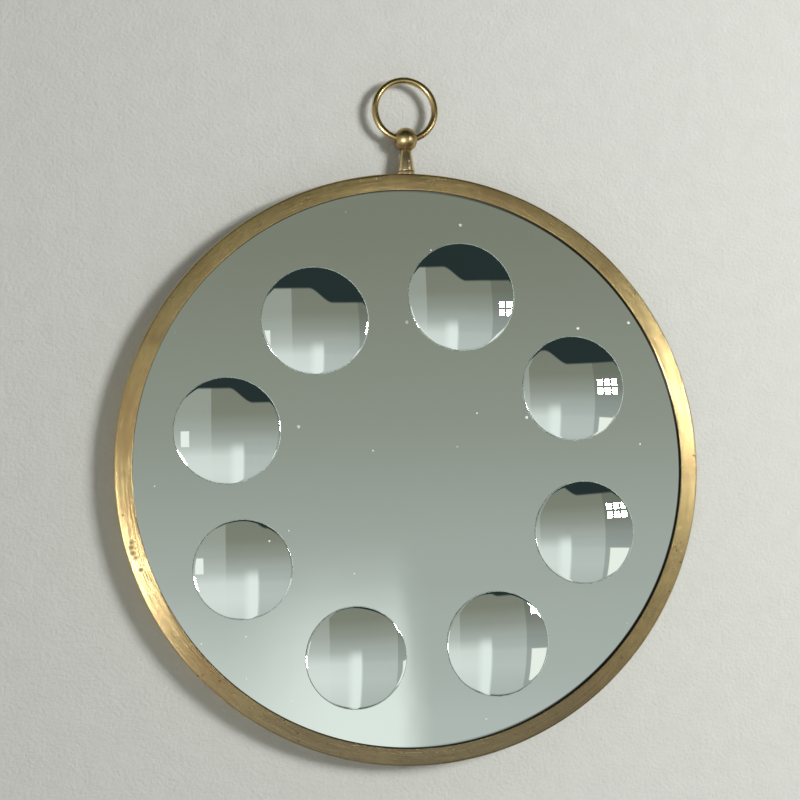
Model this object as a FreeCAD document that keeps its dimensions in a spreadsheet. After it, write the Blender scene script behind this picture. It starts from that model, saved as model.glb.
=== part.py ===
"""A round girandole mirror: eight convex bull's-eye mirrors set on a flat mirror plate, in a
rolled brass hoop that hangs by a wire ring through a ball on a turned stem.

Millimetres. +Z is up, the glass faces -Y, and the origin is the centre of the mirror on its flat
back plane. Across and up are written as x and z, depth as y.
"""

import FreeCAD, Part

import math
import os

import Sketcher
from FreeCAD import Placement, Rotation, Vector

# Driving dimensions, in millimetres, degrees or counts.
SIZES = {
    # the brass hoop, an L-section rolled into a circle
    "frame_diameter": 600.0,
    "frame_depth": 25.0,
    "wall_thickness": 2.0,
    "face_width": 18.0,
    "face_thickness": 3.0,
    "outer_round": 2.5,
    "inner_round": 1.2,
    # the strap soldered inside the hoop, over its butt joint
    "strap_length": 60.0,
    "strap_width": 14.0,
    "strap_thickness": 1.5,
    "solder_gap": 0.1,
    # the flat mirror plate
    "glass_thickness": 4.0,
    "glass_edge_gap": 6.0,
    # the bull's-eyes set on it, and the middle of their circle, left of and below its own
    "dome_radius": 260.0,
    "eye_thickness": 2.5,
    "eye_edge": 0.8,
    "eye_bevel": 0.8,
    "bond_gap": 0.1,
    "eyes_left": 4.0,
    "eyes_drop": 12.0,
    # what centres and backs the glass
    "packer_count": 8,
    "packer_length": 22.0,
    "packer_gap": 0.1,
    "felt_thickness": 1.0,
    "liner_width": 34.0,
    "liner_gap": 0.3,
    "backboard_thickness": 5.0,
    "backboard_gap": 0.3,
    "relief_gap": 0.8,
    # the screws that hold board and hoop to the liner
    "back_screw_count": 12,
    "back_screw_inset": 17.7,
    "back_screw_length": 14.0,
    "back_screw_shank": 3.5,
    "back_screw_head": 7.0,
    "edge_screw_count": 8,
    "edge_screw_length": 14.0,
    "edge_screw_shank": 2.5,
    "edge_screw_head": 5.0,
    "head_recess": 0.2,
    "screw_gap": 0.05,
    "slot_width": 0.8,
    "slot_depth": 0.7,
    # the hanger: stem, ball, and the stud that draws them to the hoop
    "ball_height": 38.5,
    "ball_diameter": 25.0,
    "stem_top": 11.2,
    "stem_bottom": 17.0,
    "foot_diameter": 19.0,
    "foot_height": 3.6,
    "foot_round": 1.2,
    "groove_width": 1.1,
    "groove_depth": 1.0,
    "seat_gap": 0.1,
    "stud_diameter": 5.0,
    "stud_gap": 0.1,
    "stud_overrun": 1.5,
    "bore_web": 2.0,
    "tip_gap": 0.5,
    "washer_diameter": 10.0,
    "washer_thickness": 1.0,
    "nut_flats": 8.0,
    "nut_height": 4.0,
    "nut_room": 5.0,
    "cut_overrun": 1.0,
    # the ring that the mirror hangs by, and that swings in the ball
    "ring_diameter": 70.0,
    "ring_wire": 7.0,
    "ring_play": 0.3,
}

# Each bull's-eye was ground and set by hand, so each has its own place and size: its angle in
# degrees from +x, then its reach from the middle of their circle and its own diameter, both in
# hundredths of the hoop's diameter.
EYES = (
    (121.0, 31.0, 18.3),
    (73.0, 32.0, 18.7),
    (27.0, 32.2, 18.2),
    (-19.0, 31.5, 17.7),
    (-64.0, 31.7, 17.7),
    (-109.0, 31.5, 17.0),
    (-153.0, 32.2, 16.5),
    (165.0, 32.0, 17.8),
)

# How near two lengths must be to count as equal, in millimetres.
NEAR = 0.01

doc = FreeCAD.newDocument("GirandoleMirror")
sheet = doc.addObject("Spreadsheet::Sheet", "Sizes")


def write_sizes():
    """Every driving dimension gets a row of the sheet and an alias, the bull's-eyes' last."""
    rows = dict(SIZES)
    for number, (angle, reach, diameter) in enumerate(EYES, 1):
        rows[f"eye_{number}_angle"] = angle
        rows[f"eye_{number}_reach"] = f"=frame_diameter * {reach} / 100"
        rows[f"eye_{number}_diameter"] = f"=frame_diameter * {diameter} / 100"
    for row, (alias, size) in enumerate(rows.items(), 1):
        sheet.set(f"A{row}", alias)
        sheet.set(f"B{row}", str(size))
        sheet.setAlias(f"B{row}", alias)
    doc.recompute()


# Places that several pieces share, as expressions on the sheet.
HOOP_R = "Sizes.frame_diameter / 2"
WALL_R = "(Sizes.frame_diameter / 2 - Sizes.wall_thickness)"
FACE_R = "(Sizes.frame_diameter / 2 - Sizes.face_width)"
STRAP_R = f"({WALL_R} - Sizes.solder_gap - Sizes.strap_thickness)"
GLASS_R = f"({WALL_R} - Sizes.glass_edge_gap)"
LINER_R = f"({WALL_R} - Sizes.liner_gap)"
BOARD_R = f"({WALL_R} - Sizes.backboard_gap)"

FRONT_Y = "(0 - Sizes.frame_depth)"
GLASS_Y = "(Sizes.face_thickness - Sizes.frame_depth)"
GLASS_BACK_Y = f"({GLASS_Y} + Sizes.glass_thickness)"
LINER_Y = f"({GLASS_BACK_Y} + Sizes.felt_thickness)"
BOARD_Y = "(0 - Sizes.backboard_thickness)"
EDGE_SCREW_Y = f"(({LINER_Y} + {BOARD_Y}) / 2)"
HANGER_DEPTH = "(Sizes.frame_depth / 2)"

BALL_Z = "(Sizes.frame_diameter / 2 + Sizes.ball_height)"
BALL_R = "(Sizes.ball_diameter / 2)"
WIRE_R = "(Sizes.ring_wire / 2)"
RING_R = f"(Sizes.ring_diameter / 2 - {WIRE_R})"
BORE_R = f"({WIRE_R} + Sizes.ring_play)"
STUD_R = "(Sizes.stud_diameter / 2)"
STUD_HOLE_R = f"({STUD_R} + Sizes.stud_gap)"
WASHER_TOP_Z = f"(sqrt({STRAP_R}^2 - (Sizes.washer_diameter / 2)^2) - Sizes.seat_gap)"
NUT_TOP_Z = f"({WASHER_TOP_Z} - Sizes.washer_thickness)"
NUT_BOTTOM_Z = f"({NUT_TOP_Z} - Sizes.nut_height)"
STUD_BOTTOM_Z = f"({NUT_BOTTOM_Z} - Sizes.stud_overrun)"
STUD_HOLE_TOP_Z = f"({BALL_Z} - {BORE_R} - Sizes.bore_web)"


def value(expression):
    """What an expression on the sheet is now, as a number."""
    return float(sheet.evalExpression(expression))


def new_body(label):
    """A body whose label names its file. A group of equal pieces may be separate solids."""
    body = doc.addObject("PartDesign::Body", label)
    body.Label = label
    body.AllowCompound = True
    return body


def origin_part(body, role):
    return next(part for part in body.Origin.OriginFeatures if part.Role == role)


def new_sketch(body, plane, base=("0", "0", "0"), turn_axis=None, turn="0"):
    """A sketch on one of the body's own origin planes, moved by base and turned about turn_axis."""
    sketch = body.newObject("Sketcher::SketchObject", "Sketch")
    sketch.AttachmentSupport = [(origin_part(body, plane), "")]
    sketch.MapMode = "FlatFace"
    rotation = Rotation(turn_axis, value(turn)) if turn_axis else Rotation()
    sketch.AttachmentOffset = Placement(Vector(*(value(step) for step in base)), rotation)
    for axis, step in zip("xyz", base):
        if step != "0":
            sketch.setExpression(f"AttachmentOffset.Base.{axis}", step)
    return sketch


def pin(sketch, geometry, end, x, y):
    """Holds one point of the sketch at (x, y), both expressions on the sheet."""
    for kind, axis, expression in (("DistanceX", -2, x), ("DistanceY", -1, y)):
        if expression == "0":
            sketch.addConstraint(Sketcher.Constraint("PointOnObject", geometry, end, axis))
        else:
            constraint = Sketcher.Constraint(kind, geometry, end, value(expression))
            index = sketch.addConstraint(constraint)
            sketch.setExpression(f"Constraints[{index}]", expression)


def set_radius(sketch, geometry, expression):
    index = sketch.addConstraint(Sketcher.Constraint("Radius", geometry, value(expression)))
    sketch.setExpression(f"Constraints[{index}]", expression)


def draw_circle(sketch, x, y, radius):
    centre = Vector(value(x), value(y), 0)
    circle = Part.Circle(centre, Vector(0, 0, 1), value(radius))
    geometry = sketch.addGeometry(circle, False)
    pin(sketch, geometry, 3, x, y)
    set_radius(sketch, geometry, radius)


def short_arc(centre, start, end):
    """The shorter arc about centre from start to end, and whether it runs from end to start."""
    first = math.atan2(start.y - centre.y, start.x - centre.x)
    last = math.atan2(end.y - centre.y, end.x - centre.x)
    sweep = (last - first) % (2 * math.pi)
    backwards = sweep > math.pi
    if backwards:
        first, last = last, first
        sweep = 2 * math.pi - sweep
    circle = Part.Circle(centre, Vector(0, 0, 1), (start - centre).Length)
    return Part.ArcOfCircle(circle, first, first + sweep), backwards


def draw_outline(sketch, corners):
    """A closed outline through the corners, in order. A corner is (x, y), and its side to the next
    corner is straight, or (x, y, centre x, centre y, radius), and its side is an arc."""
    points = [Vector(value(corner[0]), value(corner[1]), 0) for corner in corners]
    ends = []
    for index, corner in enumerate(corners):
        start = points[index]
        end = points[(index + 1) % len(corners)]
        backwards = False
        if len(corner) == 2:
            side = Part.LineSegment(start, end)
        else:
            centre = Vector(value(corner[2]), value(corner[3]), 0)
            side, backwards = short_arc(centre, start, end)
        geometry = sketch.addGeometry(side, False)
        ends.append((geometry, 2, 1) if backwards else (geometry, 1, 2))
    for index, corner in enumerate(corners):
        geometry, start, end = ends[index]
        following, next_start, _ = ends[(index + 1) % len(corners)]
        joint = Sketcher.Constraint("Coincident", geometry, end, following, next_start)
        sketch.addConstraint(joint)
        pin(sketch, geometry, start, corner[0], corner[1])
        if len(corner) == 5:
            set_radius(sketch, geometry, corner[4])


def draw_box(sketch, x0, x1, y0, y1):
    draw_outline(sketch, [(x0, y0), (x1, y0), (x1, y1), (x0, y1)])


def turned(body, sketch, axis="V_Axis", cut=False, angle="360", midplane=False):
    """Turns the sketch about one of its own axes, to add metal or to cut it away."""
    kind = "PartDesign::Groove" if cut else "PartDesign::Revolution"
    feature = body.newObject(kind, "Turned")
    feature.Profile = sketch
    feature.ReferenceAxis = (sketch, [axis])
    feature.Midplane = midplane
    feature.setExpression("Angle", angle)
    return feature


def milled(body, sketch, length):
    """A pocket of that length in all, half of it on each side of the sketch."""
    feature = body.newObject("PartDesign::Pocket", "Milled")
    feature.Profile = sketch
    feature.SideType = "Symmetric"
    feature.setExpression("Length", length)
    return feature


def repeated(body, features, count):
    """Equal copies of the features round the mirror's own axis."""
    pattern = body.newObject("PartDesign::PolarPattern", "Repeated")
    pattern.Originals = features
    pattern.Axis = (origin_part(body, "Y_Axis"), [""])
    pattern.Angle = 360
    pattern.setExpression("Occurrences", count)
    body.Tip = pattern
    return pattern


def rounded(body, base, radius, edges):
    fillet = body.newObject("PartDesign::Fillet", "Rounded")
    fillet.Base = (base, edges)
    fillet.setExpression("Radius", radius)
    return fillet


def circles_at(feature, radius, y):
    """Names of the feature's full circles about the mirror's axis, at that radius and depth."""
    names = []
    for number, edge in enumerate(feature.Shape.Edges, 1):
        box = edge.BoundBox
        at_depth = abs(box.YMin - y) < NEAR and abs(box.YMax - y) < NEAR
        if at_depth and abs(box.XMax - radius) < NEAR:
            names.append(f"Edge{number}")
    return names


# The holes for the edge screws and packers start half a space from the x axis, clear of the stem.
EDGE_SCREW_START = "(-180 / Sizes.edge_screw_count)"
PACKER_START = "(-180 / Sizes.packer_count)"


def screw_outline(head, shank, length, top, gap="0"):
    """Half of a countersunk screw along the sketch's x axis, its head's top at x = top, or, with a
    gap, of the hole that it sits in."""
    head_r = f"({head} / 2 + {gap})"
    shank_r = f"({shank} / 2 + {gap})"
    neck = f"({top} - ({head_r} - {shank_r}))"
    tip = f"({top} - {length} - {gap})"
    return [
        (tip, "0"),
        (f"({tip} + {shank_r})", shank_r),
        (neck, shank_r),
        (top, head_r),
        (top, "0"),
    ]


EDGE_SCREW_TOP = f"({HOOP_R} - Sizes.head_recess)"
BACK_SCREW_TOP = "(0 - Sizes.head_recess)"


def edge_screw_plane(body):
    """An empty sketch whose x axis is the axis of the first edge screw, outwards."""
    base = ("0", EDGE_SCREW_Y, "0")
    sketch = new_sketch(body, "XY_Plane", base, Vector(0, 1, 0), EDGE_SCREW_START)
    sketch.setExpression("AttachmentOffset.Rotation.Angle", EDGE_SCREW_START)
    return sketch


def back_screw_plane(body):
    """An empty sketch whose x axis is the axis of the first back screw, out of the back."""
    reach = f"({LINER_R} - Sizes.back_screw_inset)"
    across = f"{reach} * cos(180 / Sizes.back_screw_count)"
    up = f"{reach} * sin(180 / Sizes.back_screw_count)"
    return new_sketch(body, "XY_Plane", (across, "0", up), Vector(0, 0, 1), "90")


EDGE_SCREW_SIZES = (
    "Sizes.edge_screw_head", "Sizes.edge_screw_shank", "Sizes.edge_screw_length", EDGE_SCREW_TOP,
)
BACK_SCREW_SIZES = (
    "Sizes.back_screw_head", "Sizes.back_screw_shank", "Sizes.back_screw_length", BACK_SCREW_TOP,
)


def drilled(body, sketch, screw_sizes):
    """Cuts one screw's countersunk hole, open above the head."""
    outline = screw_outline(*screw_sizes, gap="Sizes.screw_gap")
    past = f"({screw_sizes[-1]} + Sizes.wall_thickness)"
    outline[-1:] = [(past, outline[-2][1]), (past, "0")]
    draw_outline(sketch, outline)
    return turned(body, sketch, "H_Axis", cut=True)


def driven(body, sketch, slot_sketch, screw_sizes):
    """Turns one screw and cuts the driver's slot across its head."""
    draw_outline(sketch, screw_outline(*screw_sizes))
    screw = turned(body, sketch, "H_Axis")
    head, top = screw_sizes[0], screw_sizes[-1]
    half = "(Sizes.slot_width / 2)"
    floor = f"({top} - Sizes.slot_depth)"
    draw_box(slot_sketch, floor, f"({top} + Sizes.slot_depth)", f"(0 - {half})", half)
    return [screw, milled(body, slot_sketch, f"2 * {head}")]


def drill_edge_screws(body):
    hole = drilled(body, edge_screw_plane(body), EDGE_SCREW_SIZES)
    doc.recompute()
    repeated(body, [hole], "Sizes.edge_screw_count")


def drill_back_screws(body):
    hole = drilled(body, back_screw_plane(body), BACK_SCREW_SIZES)
    doc.recompute()
    repeated(body, [hole], "Sizes.back_screw_count")


def hanger_sketch(body, height="0"):
    """A sketch facing the front in the hanger's own plane, its x axis at that height."""
    return new_sketch(body, "XZ_Plane", ("0", height, HANGER_DEPTH))


def drill_stud_hole(body, bottom, top):
    """A hole on the stud's axis, with the stud's running gap, from one height to another."""
    sketch = hanger_sketch(body)
    draw_box(sketch, "0", STUD_HOLE_R, bottom, top)
    turned(body, sketch, cut=True)


def make_frame_ring():
    """The hoop: a flat face turned in over the glass, and a wall that reaches to the back plane."""
    body = new_body("frame_ring")
    sketch = new_sketch(body, "XY_Plane")
    draw_outline(sketch, [
        (HOOP_R, "0"),
        (HOOP_R, FRONT_Y),
        (FACE_R, FRONT_Y),
        (FACE_R, GLASS_Y),
        (WALL_R, GLASS_Y),
        (WALL_R, "0"),
    ])
    hoop = turned(body, sketch)
    doc.recompute()
    front = value(FRONT_Y)
    outer = rounded(body, hoop, "Sizes.outer_round", circles_at(hoop, value(HOOP_R), front))
    doc.recompute()
    inner_edges = circles_at(outer, value(FACE_R), front)
    rounded(body, outer, "Sizes.inner_round", inner_edges)
    drill_stud_hole(body, STRAP_R, f"({HOOP_R} + Sizes.cut_overrun)")
    drill_edge_screws(body)
    return body


def make_joint_plate():
    """The strap inside the hoop, bent to its curve, that the stud passes through."""
    body = new_body("joint_plate")
    sketch = new_sketch(body, "YZ_Plane")
    near = f"(0 - {HANGER_DEPTH} - Sizes.strap_width / 2)"
    far = f"(0 - {HANGER_DEPTH} + Sizes.strap_width / 2)"
    draw_box(sketch, near, far, STRAP_R, f"({WALL_R} - Sizes.solder_gap)")
    angle = f"2 * asin(Sizes.strap_length / 2 / {STRAP_R})"
    turned(body, sketch, "H_Axis", angle=angle, midplane=True)
    drill_stud_hole(body, f"({STRAP_R} - Sizes.cut_overrun)", WALL_R)
    return body


def eye_place(number):
    """Where a bull's-eye's middle is, across and up."""
    eye = f"Sizes.eye_{number}_"
    across = f"({eye}reach * cos({eye}angle) - Sizes.eyes_left)"
    up = f"({eye}reach * sin({eye}angle) - Sizes.eyes_drop)"
    return across, up


def make_mirror_plate():
    """The flat plate, silvered behind, that fills the hoop."""
    body = new_body("mirror_plate")
    sketch = new_sketch(body, "XY_Plane")
    draw_box(sketch, "0", GLASS_R, GLASS_Y, GLASS_BACK_Y)
    turned(body, sketch)
    return body


def make_bulls_eye(number):
    """One convex mirror: a cap of a thin glass globe, silvered inside. Its rim is ground to a flat
    foot, which is bonded to the plate, with a short upright edge and a bevel."""
    body = new_body(f"bulls_eye_{number}")
    across, up = eye_place(number)
    sketch = new_sketch(body, "XY_Plane", (across, "0", up))
    rim = f"(Sizes.eye_{number}_diameter / 2)"
    front_r = "Sizes.dome_radius"
    back_r = "(Sizes.dome_radius - Sizes.eye_thickness)"
    foot_y = f"({GLASS_Y} - Sizes.bond_gap)"
    edge_y = f"({foot_y} - Sizes.eye_edge)"
    dome_x = f"({rim} - Sizes.eye_bevel)"
    dome_y = f"({edge_y} - Sizes.eye_bevel)"
    centre_y = f"({dome_y} + sqrt({front_r}^2 - {dome_x}^2))"
    foot_x = f"sqrt({back_r}^2 - ({centre_y} - {foot_y})^2)"
    draw_outline(sketch, [
        ("0", f"({centre_y} - {front_r})", "0", centre_y, front_r),
        (dome_x, dome_y),
        (rim, edge_y),
        (rim, foot_y),
        (foot_x, foot_y, "0", centre_y, back_r),
        ("0", f"({centre_y} - {back_r})"),
    ])
    turned(body, sketch)
    return body


def make_edge_packers():
    """Cork blocks between the glass's edge and the hoop's wall."""
    body = new_body("edge_packers")
    sketch = new_sketch(body, "XY_Plane", turn_axis=Vector(0, 1, 0), turn=PACKER_START)
    sketch.setExpression("AttachmentOffset.Rotation.Angle", PACKER_START)
    inner = f"({GLASS_R} + Sizes.packer_gap)"
    outer = f"({WALL_R} - Sizes.packer_gap)"
    draw_box(sketch, inner, outer, GLASS_Y, GLASS_BACK_Y)
    angle = f"2 * asin(Sizes.packer_length / 2 / {WALL_R})"
    block = turned(body, sketch, angle=angle, midplane=True)
    doc.recompute()
    repeated(body, [block], "Sizes.packer_count")
    return body


def make_backing_felt():
    body = new_body("backing_felt")
    sketch = new_sketch(body, "XY_Plane")
    draw_box(sketch, "0", GLASS_R, GLASS_BACK_Y, LINER_Y)
    turned(body, sketch)
    return body


def make_liner_ring():
    """The wooden ring, relieved at the top for the strap, the nut and the stud's end."""
    body = new_body("liner_ring")
    sketch = new_sketch(body, "XY_Plane")
    draw_box(sketch, f"({LINER_R} - Sizes.liner_width)", LINER_R, LINER_Y, BOARD_Y)
    turned(body, sketch)
    relief = new_sketch(body, "XZ_Plane")
    strap_x = "(Sizes.strap_length / 2 + Sizes.relief_gap)"
    strap_z = f"({STRAP_R} * sqrt(1 - ({strap_x} / {STRAP_R})^2) - Sizes.relief_gap)"
    nut_x = "(Sizes.nut_flats / 2 + Sizes.nut_room)"
    nut_z = f"({STUD_BOTTOM_Z} - Sizes.relief_gap)"
    draw_outline(relief, [
        (f"(0 - {strap_x})", HOOP_R),
        (f"(0 - {strap_x})", strap_z),
        (f"(0 - {nut_x})", strap_z),
        (f"(0 - {nut_x})", nut_z),
        (nut_x, nut_z),
        (nut_x, strap_z),
        (strap_x, strap_z),
        (strap_x, HOOP_R),
    ])
    milled(body, relief, "4 * Sizes.frame_depth")
    drill_edge_screws(body)
    drill_back_screws(body)
    return body


def make_backboard():
    """The board that closes the back, flush with the hoop's rear rim."""
    body = new_body("backboard")
    sketch = new_sketch(body, "XY_Plane")
    draw_box(sketch, "0", BOARD_R, BOARD_Y, "0")
    turned(body, sketch)
    drill_back_screws(body)
    return body


def make_edge_screws():
    """The screws that hold the hoop's wall to the liner."""
    body = new_body("edge_screws")
    screw = driven(body, edge_screw_plane(body), edge_screw_plane(body), EDGE_SCREW_SIZES)
    doc.recompute()
    repeated(body, screw, "Sizes.edge_screw_count")
    return body


def make_back_screws():
    """The screws that hold the backboard to the liner."""
    body = new_body("back_screws")
    screw = driven(body, back_screw_plane(body), back_screw_plane(body), BACK_SCREW_SIZES)
    doc.recompute()
    repeated(body, screw, "Sizes.back_screw_count")
    return body


def make_hanger_stem():
    """The turned stem: a taper, a groove and a foot, dished at the top for the ball and saddled
    below for the hoop."""
    body = new_body("hanger_stem")
    sketch = hanger_sketch(body)
    seat_r = f"({BALL_R} + Sizes.seat_gap)"
    top_r = "(Sizes.stem_top / 2)"
    taper_r = "(Sizes.stem_bottom / 2)"
    foot_r = "(Sizes.foot_diameter / 2)"
    foot_z = f"({HOOP_R} + Sizes.foot_height)"
    groove_z = f"({foot_z} + Sizes.groove_width)"
    draw_outline(sketch, [
        (STUD_HOLE_R, f"({HOOP_R} - Sizes.foot_height)"),
        (foot_r, f"({HOOP_R} - Sizes.foot_height)"),
        (foot_r, f"({foot_z} - Sizes.foot_round)",
         f"({foot_r} - Sizes.foot_round)", f"({foot_z} - Sizes.foot_round)", "Sizes.foot_round"),
        (f"({foot_r} - Sizes.foot_round)", foot_z),
        (f"({taper_r} - Sizes.groove_depth)", foot_z),
        (taper_r, groove_z),
        (top_r, f"({BALL_Z} - sqrt({seat_r}^2 - {top_r}^2))", "0", BALL_Z, seat_r),
        (STUD_HOLE_R, f"({BALL_Z} - sqrt({seat_r}^2 - {STUD_HOLE_R}^2))"),
    ])
    turned(body, sketch)
    saddle = new_sketch(body, "XZ_Plane")
    draw_circle(saddle, "0", "0", f"({HOOP_R} + Sizes.seat_gap)")
    milled(body, saddle, "4 * Sizes.frame_depth")
    return body


def make_hanger_ball():
    """The ball. Its cross bore is bell-mouthed at both ends, the shape that the ring's curve
    sweeps as the ring swings about the bore's own axis."""
    body = new_body("hanger_ball")
    sketch = hanger_sketch(body, BALL_Z)
    draw_outline(sketch, [
        ("0", f"(0 - {BALL_R})", "0", "0", BALL_R),
        (BALL_R, "0", "0", "0", BALL_R),
        ("0", BALL_R),
    ])
    turned(body, sketch)
    bore = hanger_sketch(body, BALL_Z)
    sweep_r = f"({RING_R} - {BORE_R})"
    mouth_x = f"({BALL_R} + {BORE_R} / 4)"
    mouth_z = f"({RING_R} - sqrt({sweep_r}^2 - {mouth_x}^2))"
    draw_outline(bore, [
        (f"(0 - {mouth_x})", "0"),
        (f"(0 - {mouth_x})", mouth_z, "0", RING_R, sweep_r),
        (mouth_x, mouth_z),
        (mouth_x, "0"),
    ])
    turned(body, bore, "H_Axis", cut=True)
    drill_stud_hole(body, f"({BALL_Z} - {BALL_R} - Sizes.cut_overrun)", STUD_HOLE_TOP_Z)
    return body


def make_hanger_stud():
    """The threaded rod, with chamfered ends, from inside the liner's relief up into the ball."""
    body = new_body("hanger_stud")
    sketch = hanger_sketch(body)
    top = f"({STUD_HOLE_TOP_Z} - Sizes.tip_gap)"
    chamfer = "Sizes.tip_gap"
    draw_outline(sketch, [
        ("0", STUD_BOTTOM_Z),
        (f"({STUD_R} - {chamfer})", STUD_BOTTOM_Z),
        (STUD_R, f"({STUD_BOTTOM_Z} + {chamfer})"),
        (STUD_R, f"({top} - {chamfer})"),
        (f"({STUD_R} - {chamfer})", top),
        ("0", top),
    ])
    turned(body, sketch)
    return body


def make_stud_washer():
    body = new_body("stud_washer")
    sketch = hanger_sketch(body)
    draw_box(sketch, STUD_HOLE_R, "(Sizes.washer_diameter / 2)", NUT_TOP_Z, WASHER_TOP_Z)
    turned(body, sketch)
    return body


def make_stud_nut():
    """A hexagon nut, two of its flats facing the glass and the board."""
    body = new_body("stud_nut")
    sketch = new_sketch(body, "XY_Plane", ("0", f"(0 - {HANGER_DEPTH})", NUT_BOTTOM_Z))
    corner = "Sizes.nut_flats / sqrt(3)"
    corners = [(f"({corner} * cos({60 * k}))", f"({corner} * sin({60 * k}))") for k in range(6)]
    corners[0] = (f"({corner})", "0")
    corners[3] = (f"(0 - {corner})", "0")
    draw_outline(sketch, corners)
    pad = body.newObject("PartDesign::Pad", "Bar")
    pad.Profile = sketch
    pad.setExpression("Length", "Sizes.nut_height")
    drill_stud_hole(body, STUD_BOTTOM_Z, WASHER_TOP_Z)
    return body


def make_hanging_ring():
    """The wire ring, closed through the ball. It is drawn upright, as it hangs."""
    body = new_body("hanging_ring")
    centre_z = f"({BALL_Z} + {RING_R})"
    sketch = new_sketch(body, "XY_Plane", ("0", f"(0 - {HANGER_DEPTH})", centre_z))
    draw_circle(sketch, RING_R, "0", WIRE_R)
    turned(body, sketch)
    return body


def check_and_write(bodies):
    """Stops on a failed feature or a shape that isn't sound, and writes a STEP file per node."""
    failed = [item.Label for item in doc.Objects if {"Invalid", "Error"} & set(item.State)]
    if failed:
        raise RuntimeError(f"failed features: {failed}")
    for body in bodies:
        if body.Shape.isNull() or not body.Shape.isValid() or not body.Shape.Solids:
            raise RuntimeError(f"{body.Label} has no sound solid")
    os.makedirs("parts", exist_ok=True)
    for body in bodies:
        body.Shape.exportStep(f"parts/{body.Label}.step")
        box = body.Shape.optimalBoundingBox()
        print(
            f"{body.Label}: {len(body.Shape.Solids)} solids, {body.Shape.Volume / 1000:.2f} cm3,"
            f" x {box.XMin:.1f}..{box.XMax:.1f}, y {box.YMin:.1f}..{box.YMax:.1f},"
            f" z {box.ZMin:.1f}..{box.ZMax:.1f}"
        )


def main():
    write_sizes()
    makers = (
        make_frame_ring, make_joint_plate, make_mirror_plate, make_edge_packers,
        make_backing_felt, make_liner_ring, make_backboard, make_edge_screws, make_back_screws,
        make_hanger_stem, make_hanger_ball, make_hanger_stud, make_stud_washer, make_stud_nut,
        make_hanging_ring,
    )
    bodies = [make() for make in makers]
    bodies += [make_bulls_eye(number) for number in range(1, len(EYES) + 1)]
    doc.recompute()
    check_and_write(bodies)


main()
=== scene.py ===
# %% [markdown]
# # A girandole mirror, piece by piece
# The real object is a round mirror. Eight small convex mirrors, its bull's-eyes, are set on a flat
# mirror plate, which sits in a flat brass hoop. A wire ring runs through a brass ball on a short
# turned stem, and the mirror hangs by it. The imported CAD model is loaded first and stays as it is.
# Each piece that the eye meets is then made again, smoother, in the place that the CAD gives.

# %% Load the frame
import math

import bmesh
import bpy
from mathutils import Euler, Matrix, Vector


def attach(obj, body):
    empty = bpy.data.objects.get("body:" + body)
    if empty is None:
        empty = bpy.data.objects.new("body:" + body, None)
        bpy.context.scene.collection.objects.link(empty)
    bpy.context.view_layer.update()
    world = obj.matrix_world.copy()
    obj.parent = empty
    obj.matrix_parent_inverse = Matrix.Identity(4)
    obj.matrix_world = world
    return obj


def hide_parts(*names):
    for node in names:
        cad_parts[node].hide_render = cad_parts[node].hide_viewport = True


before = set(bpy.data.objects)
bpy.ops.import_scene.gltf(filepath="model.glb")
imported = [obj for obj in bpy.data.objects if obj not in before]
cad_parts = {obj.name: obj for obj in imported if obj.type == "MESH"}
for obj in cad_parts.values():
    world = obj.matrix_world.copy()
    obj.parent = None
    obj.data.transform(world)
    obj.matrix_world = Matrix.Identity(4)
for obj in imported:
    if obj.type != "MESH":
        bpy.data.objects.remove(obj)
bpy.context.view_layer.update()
print("nodes:", sorted(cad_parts))

# %% [markdown]
# ## The mirror's own measures
# Everything below is in metres, in the CAD model's frame: up is +Z, the glass faces -Y, and the
# origin is the centre of the back. The measures could be read off the CAD meshes, but named
# numbers are easier to follow, and each new piece then lies on the one that carries it. Each
# bull's-eye was ground and set by hand, so each has its own angle in degrees, and its own reach
# from the middle of their circle and width in millimetres.

# %% Measures
MM = 0.001
TURN = 2 * math.pi
WELD = 0.002 * MM  # vertices nearer than this are joined
NEAR = 0.01 * MM  # places nearer than this are the same place

HOOP_R = 300 * MM
HOOP_DEPTH = 25 * MM
FACE_R = 282 * MM
WALL_R = 298 * MM
FACE_THICKNESS = 3 * MM

GLASS_R = 292 * MM
GLASS_Y = -22 * MM
GLASS_THICKNESS = 4 * MM
DOME_R = 260 * MM
EYE_THICKNESS = 2.5 * MM
EYE_EDGE = 0.8 * MM
EYE_BEVEL = 0.8 * MM
BOND_GAP = 0.1 * MM
EYES_MIDDLE = (-4 * MM, -12 * MM)
EYES = (
    (121, 186.0, 109.8),
    (73, 192.0, 112.2),
    (27, 193.2, 109.2),
    (-19, 189.0, 106.2),
    (-64, 190.2, 106.2),
    (-109, 189.0, 102.0),
    (-153, 193.2, 99.0),
    (165, 192.0, 106.8),
)

HANGER_Y = -12.5 * MM
BALL_Z = 338.5 * MM
BALL_R = 12.5 * MM
RING_R = 31.5 * MM
WIRE_R = 3.5 * MM
BORE_R = 3.8 * MM
RING_Z = BALL_Z + RING_R
print("ring centre", round(RING_Z, 4), "m up")

# %% [markdown]
# ## The camera
# The photograph was taken by hand, a little to the left of the mirror's middle and low, looking
# slightly up and to the right. The camera's place, its turn and its lens were worked out from the
# hoop's outline and the hanger's places. A Track To constraint could aim it, but leaves no room
# for a roll, so three angles give its turn: the heading, the pitch, and a slight roll.

# %% Camera
CAMERA_PLACE = Vector((-239.2, -1325.0, -36.8)) * MM
HEADING, PITCH, ROLL = (math.radians(a) for a in (9.77, 4.44, -1.50))

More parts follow.
